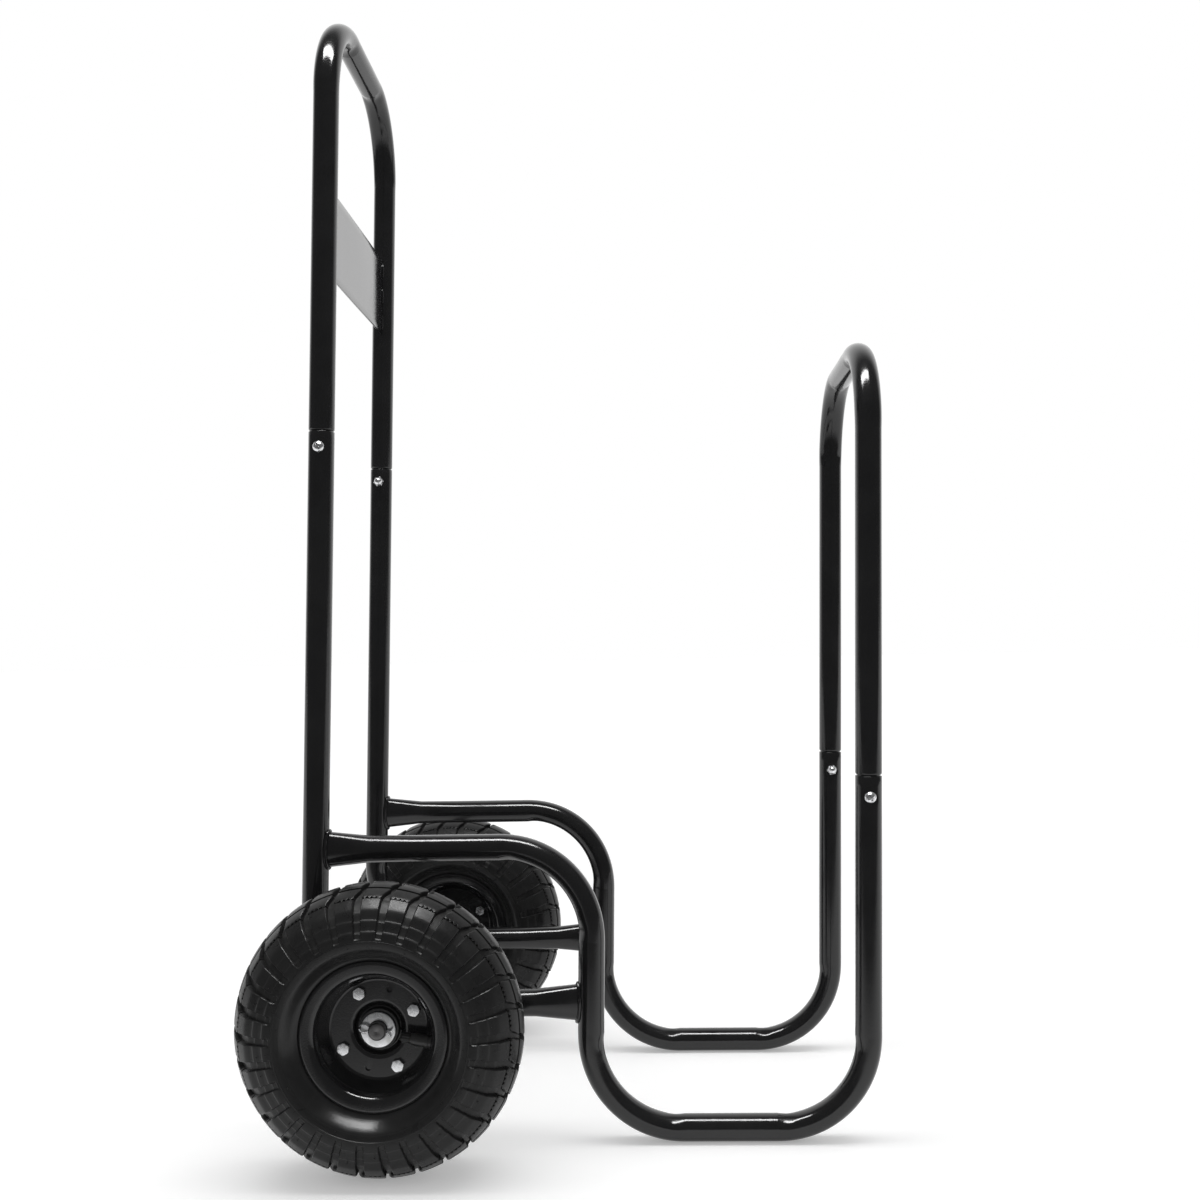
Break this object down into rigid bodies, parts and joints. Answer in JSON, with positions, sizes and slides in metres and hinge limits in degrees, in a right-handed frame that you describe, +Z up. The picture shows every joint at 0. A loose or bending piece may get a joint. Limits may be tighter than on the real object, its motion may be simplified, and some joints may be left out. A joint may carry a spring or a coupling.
{
  "type": "fireside log cart",
  "caption": "Tall bent-tube cart on pneumatic wheels, with a handle hoop, a cross plate, and a U-shaped cradle with a front hoop that holds split logs.",
  "frame": {"origin": "on the floor, at the middle of the cart's overall length and width", "axes": "+X forwards from the handle to the front hoop, +Y to the left along the axle, +Z up"},
  "size_m": [0.6054, 0.519, 1.1142],
  "materials": {
    "gloss_black_tube": "gloss black powder coat on steel tube, slight orange peel",
    "gloss_black_plate": "gloss black powder coat on flat sheet steel",
    "gloss_black_rim": "gloss black enamel on pressed steel",
    "zinc_fasteners": "bright zinc plating",
    "zinc_hardware": "bright zinc plating, slightly dulled",
    "axle_steel": "dark steel bar, black oxide skin with bare edges",
    "bearing_steel": "ground bearing steel",
    "tyre_rubber": "moulded black rubber, satin",
    "inner_tube_rubber": "soft black butyl rubber",
    "valve_rubber": "black rubber",
    "valve_brass": "turned brass",
    "cap_plastic": "black moulded plastic"
  },
  "bodies": {
    "frame": {"handle_hoop": "gloss_black_tube", "handle_plate": "gloss_black_plate", "front_hoop": "gloss_black_tube", "rear_upright_left": "gloss_black_tube", "rear_upright_right": "gloss_black_tube", "cradle_tube_left": "gloss_black_tube", "cradle_tube_right": "gloss_black_tube", "rear_joint_screws": "zinc_fasteners", "rear_joint_nuts": "zinc_fasteners", "front_joint_screws": "zinc_fasteners", "front_joint_nuts": "zinc_fasteners", "axle": "axle_steel", "spacer_sleeves": "zinc_hardware", "inner_washers": "zinc_hardware", "outer_washers": "zinc_hardware", "split_pins": "zinc_hardware"},
    "wheel_left": {"tyre_left": "tyre_rubber", "inner_tube_left": "inner_tube_rubber", "rim_outer_left": "gloss_black_rim", "rim_inner_left": "gloss_black_rim", "rim_bolts_left": "zinc_fasteners", "rim_nuts_left": "zinc_fasteners", "hub_left": "gloss_black_rim", "bearing_rings_left": "bearing_steel", "bearing_balls_left": "bearing_steel", "valve_stem_left": "valve_rubber", "valve_tube_left": "valve_brass", "valve_cap_left": "cap_plastic"},
    "wheel_right": {"tyre_right": "tyre_rubber", "inner_tube_right": "inner_tube_rubber", "rim_outer_right": "gloss_black_rim", "rim_inner_right": "gloss_black_rim", "rim_bolts_right": "zinc_fasteners", "rim_nuts_right": "zinc_fasteners", "hub_right": "gloss_black_rim", "bearing_rings_right": "bearing_steel", "bearing_balls_right": "bearing_steel", "valve_stem_right": "valve_rubber", "valve_tube_right": "valve_brass", "valve_cap_right": "cap_plastic"}
  },
  "joints": [
    {"name": "wheel_left_spin", "type": "hinge", "parent": "frame", "child": "wheel_left", "pos_m": [-0.17266, 0.217, 0.13], "axis": [0, 1, 0], "continuous": true},
    {"name": "wheel_right_spin", "type": "hinge", "parent": "frame", "child": "wheel_right", "pos_m": [-0.17266, -0.217, 0.13], "axis": [0, 1, 0], "continuous": true}
  ]
}
